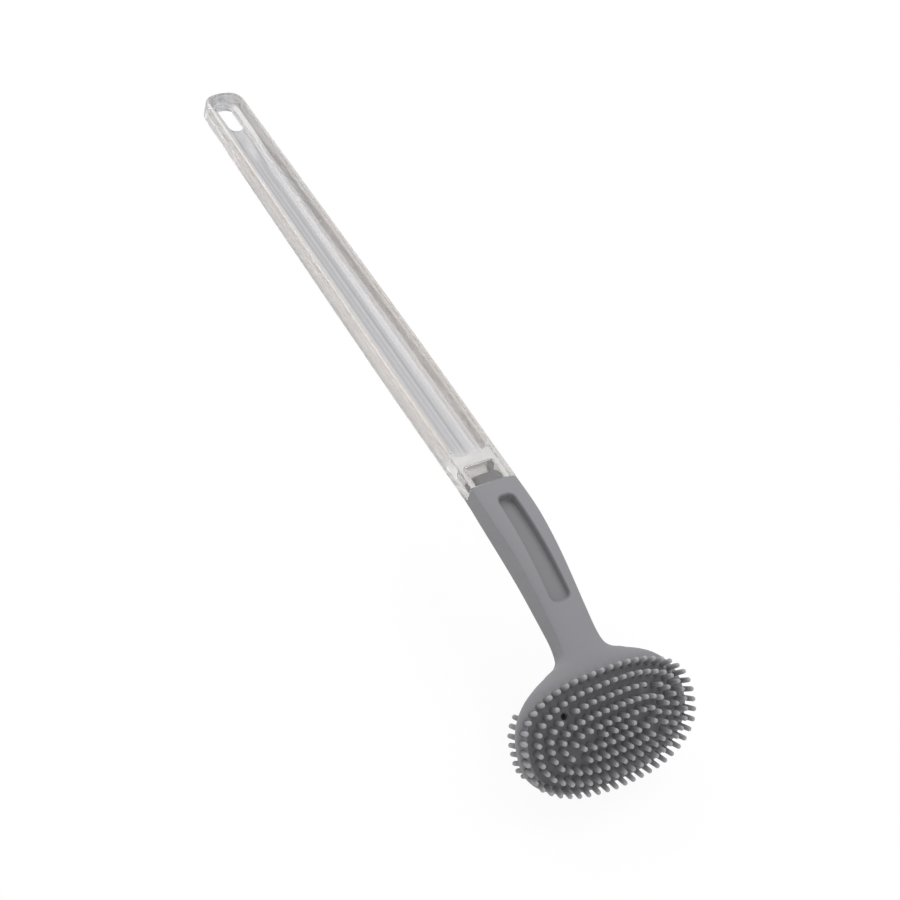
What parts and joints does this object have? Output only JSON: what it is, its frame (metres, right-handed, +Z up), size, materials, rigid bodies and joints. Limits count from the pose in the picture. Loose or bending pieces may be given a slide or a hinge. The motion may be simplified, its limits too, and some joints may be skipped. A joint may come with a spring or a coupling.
{
  "type": "toilet brush",
  "caption": "Rubber-headed toilet brush: an oval domed head covered in short soft nubs on a bent grey neck, plugged into a long clear channel-shaped handle with a hanging slot.",
  "frame": {"origin": "middle of the bounding box's bottom, on the floor that the brush lies on", "axes": "+Y along the brush towards the hanging end, +Z up out of the nubbed face's side, +X to the side"},
  "size_m": [0.0912, 0.4162, 0.0508],
  "materials": {
    "clear_plastic": "clear, glossy",
    "rigid_plastic": "satin",
    "soft_rubber": "soft matte",
    "nub_rubber": "soft matte",
    "back_nub_rubber": "soft matte"
  },
  "bodies": {
    "handle": {"handle": "clear_plastic"},
    "head": {"core": "rigid_plastic", "skin": "soft_rubber", "nub_pad": "nub_rubber", "back_nubs_left": "back_nub_rubber", "back_nubs_lower_left": "back_nub_rubber", "back_nubs_lower_right": "back_nub_rubber", "back_nubs_right": "back_nub_rubber"}
  },
  "joints": [
    {"name": "head_pull", "type": "slide", "parent": "handle", "child": "head", "axis": [0, -0.9906, 0.1367], "range_m": [0, 0.02]}
  ]
}
